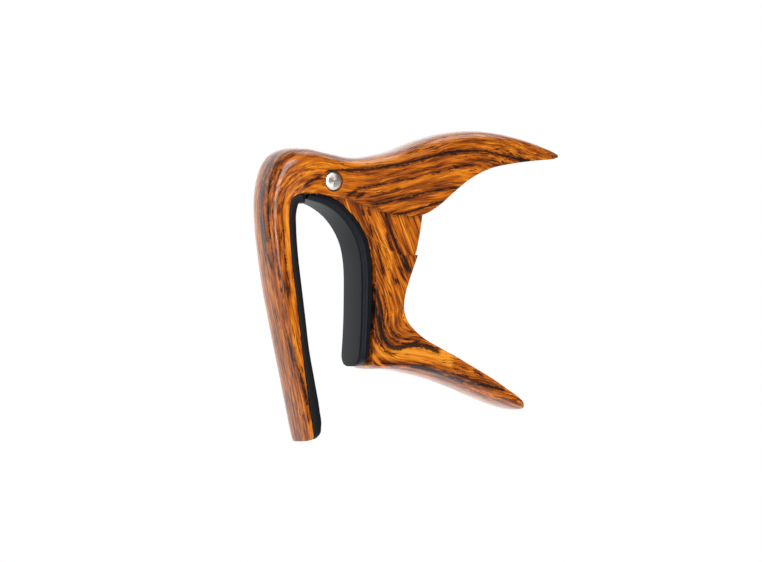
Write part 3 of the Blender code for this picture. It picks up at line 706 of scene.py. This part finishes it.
def smoothing(name, angle):
    """Geometry nodes that shade a mesh smooth except over edges sharper than the angle in degrees."""
    group = bpy.data.node_groups.new(name, "GeometryNodeTree")
    for direction in ("INPUT", "OUTPUT"):
        group.interface.new_socket("Geometry", in_out=direction, socket_type="NodeSocketGeometry")
    source = group.nodes.new("NodeGroupInput").outputs[0]
    result = group.nodes.new("NodeGroupOutput").inputs[0]
    edge_angle = group.nodes.new("GeometryNodeInputMeshEdgeAngle").outputs["Unsigned Angle"]
    sharper = group.nodes.new("FunctionNodeCompare")
    sharper.operation = "GREATER_THAN"
    sharper.inputs["B"].default_value = math.radians(angle)
    normals = group.nodes.new("GeometryNodeSetMeshNormal")
    normals.inputs["Remove Custom"].default_value = True
    group.links.new(edge_angle, sharper.inputs["A"])
    group.links.new(source, normals.inputs["Mesh"])
    group.links.new(sharper.outputs["Result"], normals.inputs["Edge Sharpness"])
    group.links.new(normals.outputs["Mesh"], result)
    return group


def dress(node, surface, fillet=0.0):
    """Gives a kept CAD node its detailed material, smooth shading and small fillets on sharp edges."""
    piece = frame["nodes"][node]
    for slot in piece.material_slots:
        slot.material = surface
    weld = piece.modifiers.new("weld", "WELD")
    weld.merge_threshold = 0.001 * MM
    if fillet:
        round_over = piece.modifiers.new("fillets", "BEVEL")
        round_over.width = fillet * MM
        round_over.segments = 3
        round_over.limit_method = "ANGLE"
        round_over.angle_limit = math.radians(50)
    piece.modifiers.new("smoothing", "NODES").node_group = SMOOTHING
    flat = piece.modifiers.new("flat_faces", "WEIGHTED_NORMAL")
    flat.keep_sharp = True


SMOOTHING = smoothing("smoothing", CAD_SHARP_ANGLE)


# ---------------------------------------------------------------- studio

FLOOR_RADIUS, FLOOR_DROP = 5.0, 0.9  # metres
# Name, direction from the object, distance, width and height in metres, and power
LIGHTS = (
    ("key", (-0.15, -0.8, 0.6), 0.8, 0.9, 0.9, 0.7),
    ("front", (-0.15, -0.93, 0.28), 0.8, 0.4, 0.65, 4.4),
    ("left", (-0.95, -0.3, 0.1), 0.8, 0.5, 0.5, 0.62),
    ("top", (0.45, 0.1, 0.88), 0.8, 0.4, 0.4, 1.1),
    ("below", (0.45, 0.05, -0.87), 0.75, 0.45, 0.45, 1.0),
)
BRIGHT_SIDE = (-0.05, 1, 0.12)  # of the studio, behind the object
DIM, BRIGHT = 0.1, 1.35
CAMERA_AZIMUTH = math.radians(-30)  # from straight in front, towards the arm's outer face
CAMERA_DISTANCE = 6.0
VIEW_WIDTH = 0.2011  # metres across the picture at the object
VIEW_MIDDLE = (15.77, -26.3)  # millimetres right of the pivot and above it, seen from the camera
SENSOR_WIDTH = 36


def floor():
    """A wide white disc well below the object, as bright as a light table and clear from underneath."""
    bm = bmesh.new()
    bmesh.ops.create_circle(bm, cap_ends=True, segments=96, radius=FLOOR_RADIUS)
    mesh = bpy.data.meshes.new("floor")
    bm.to_mesh(mesh)
    bm.free()
    made = bpy.data.objects.new("floor", mesh)
    made.location = (0, 0, -FLOOR_DROP)
    bpy.context.scene.collection.objects.link(made)
    graph = Graph("pale_floor")
    graph.set(Base_Color=(0.02, 0.02, 0.02, 1), Roughness=1.0, Specular_IOR_Level=0.0)
    graph.set(Emission_Color=(1, 1, 1, 1), Emission_Strength=1.0)
    underneath = graph.node("ShaderNodeNewGeometry").outputs["Backfacing"]
    clear = graph.node("ShaderNodeBsdfTransparent").outputs[0]
    both = graph.node("ShaderNodeMixShader")
    for socket, value in zip(both.inputs, (underneath, graph.shader.outputs[0], clear)):
        graph.feed(socket, value)
    graph.feed(graph.tree.nodes["Material Output"].inputs["Surface"], both.outputs[0])
    mesh.materials.append(graph.material)


def softbox(name, direction, distance, width, height, power):
    """A soft rectangular light that faces the object and isn't seen itself."""
    data = bpy.data.lights.new(name, "AREA")
    data.shape = "RECTANGLE"
    data.size = width
    data.size_y = height
    data.energy = power
    made = bpy.data.objects.new(name, data)
    middle = (cad_box[0] + cad_box[1]) / 2
    offset = Vector(direction).normalized() * distance
    made.location = middle + offset
    made.rotation_euler = (-offset).to_track_quat("-Z", "Y").to_euler()
    made.visible_camera = False
    bpy.context.scene.collection.objects.link(made)


def world():
    """White for the camera, and for the light a studio that is bright behind and dim in front."""
    made = bpy.data.worlds.new("studio")
    bpy.context.scene.world = made
    made.use_nodes = True
    tree = made.node_tree
    background = tree.nodes["Background"]
    direction = tree.nodes.new("ShaderNodeTexCoord").outputs["Generated"]
    toward = tree.nodes.new("ShaderNodeVectorMath")
    toward.operation = "DOT_PRODUCT"
    toward.inputs[1].default_value = Vector(BRIGHT_SIDE).normalized()
    tree.links.new(direction, toward.inputs[0])
    level = tree.nodes.new("ShaderNodeMapRange")
    level.interpolation_type = "SMOOTHSTEP"
    level.inputs["From Min"].default_value = 0.2
    level.inputs["From Max"].default_value = 0.85
    level.inputs["To Min"].default_value = DIM
    level.inputs["To Max"].default_value = BRIGHT
    tree.links.new(toward.outputs["Value"], level.inputs["Value"])
    path = tree.nodes.new("ShaderNodeLightPath")
    seen = tree.nodes.new("ShaderNodeMix")
    tree.links.new(path.outputs["Is Camera Ray"], seen.inputs["Factor"])
    tree.links.new(level.outputs["Result"], seen.inputs["A"])
    seen.inputs["B"].default_value = 1.0
    tree.links.new(seen.outputs["Result"], background.inputs["Strength"])
    background.inputs["Color"].default_value = (1, 1, 1, 1)


def camera():
    """Level with the object and to its left, far enough away to look almost flat."""
    data = bpy.data.cameras.new("camera")
    made = bpy.data.objects.new("camera", data)
    bpy.context.scene.collection.objects.link(made)
    back = Vector((math.sin(CAMERA_AZIMUTH), -math.cos(CAMERA_AZIMUTH), 0))
    right = Vector((math.cos(CAMERA_AZIMUTH), math.sin(CAMERA_AZIMUTH), 0))
    target = PIVOT + (right * VIEW_MIDDLE[0] + Vector((0, 0, VIEW_MIDDLE[1]))) * MM
    data.sensor_width = SENSOR_WIDTH
    data.lens = SENSOR_WIDTH * CAMERA_DISTANCE / VIEW_WIDTH
    made.location = target + back * CAMERA_DISTANCE
    made.rotation_euler = (-back).to_track_quat("-Z", "Y").to_euler()
    data.clip_start, data.clip_end = 0.5, 60
    bpy.context.scene.camera = made


# ---------------------------------------------------------------- the capo

camera()

frame_wood = wood("wood_print_frame", FRAME_GRAIN, FRAME_VEINS, FRAME_GOLD, 0.45, 1.8)
jaw_wood = wood("wood_print_jaw", JAW_GRAIN, JAW_VEINS, JAW_GOLD, 0.4, 2.0)
dress("upper_frame", frame_wood, FILLET)
dress("lower_jaw", jaw_wood, FILLET)
dress("pivot_pin", turned_steel("turned_steel"))
washer_nylon = nylon("washer_nylon")
for side in ("near", "far"):
    dress(f"thrust_washer_{side}", washer_nylon)

black_rubber = rubber("black_rubber", srgb(14, 15, 18), srgb(19, 20, 24), 0.4, 0.2)
slate_silicone = rubber("slate_silicone", srgb(16, 21, 27), srgb(19, 24, 31), 0.42, 0.16)

strip = string_pad(black_rubber)
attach(strip, "upper")
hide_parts("string_pad")

cushion = neck_pad(slate_silicone)
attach(cushion, "jaw")
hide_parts("neck_pad")

wire = spring(drawn_wire("drawn_wire"))
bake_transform(wire)
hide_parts("torsion_spring")

floor()
world()
for light in LIGHTS:
    softbox(*light)
bpy.context.scene.view_settings.view_transform = "Standard"
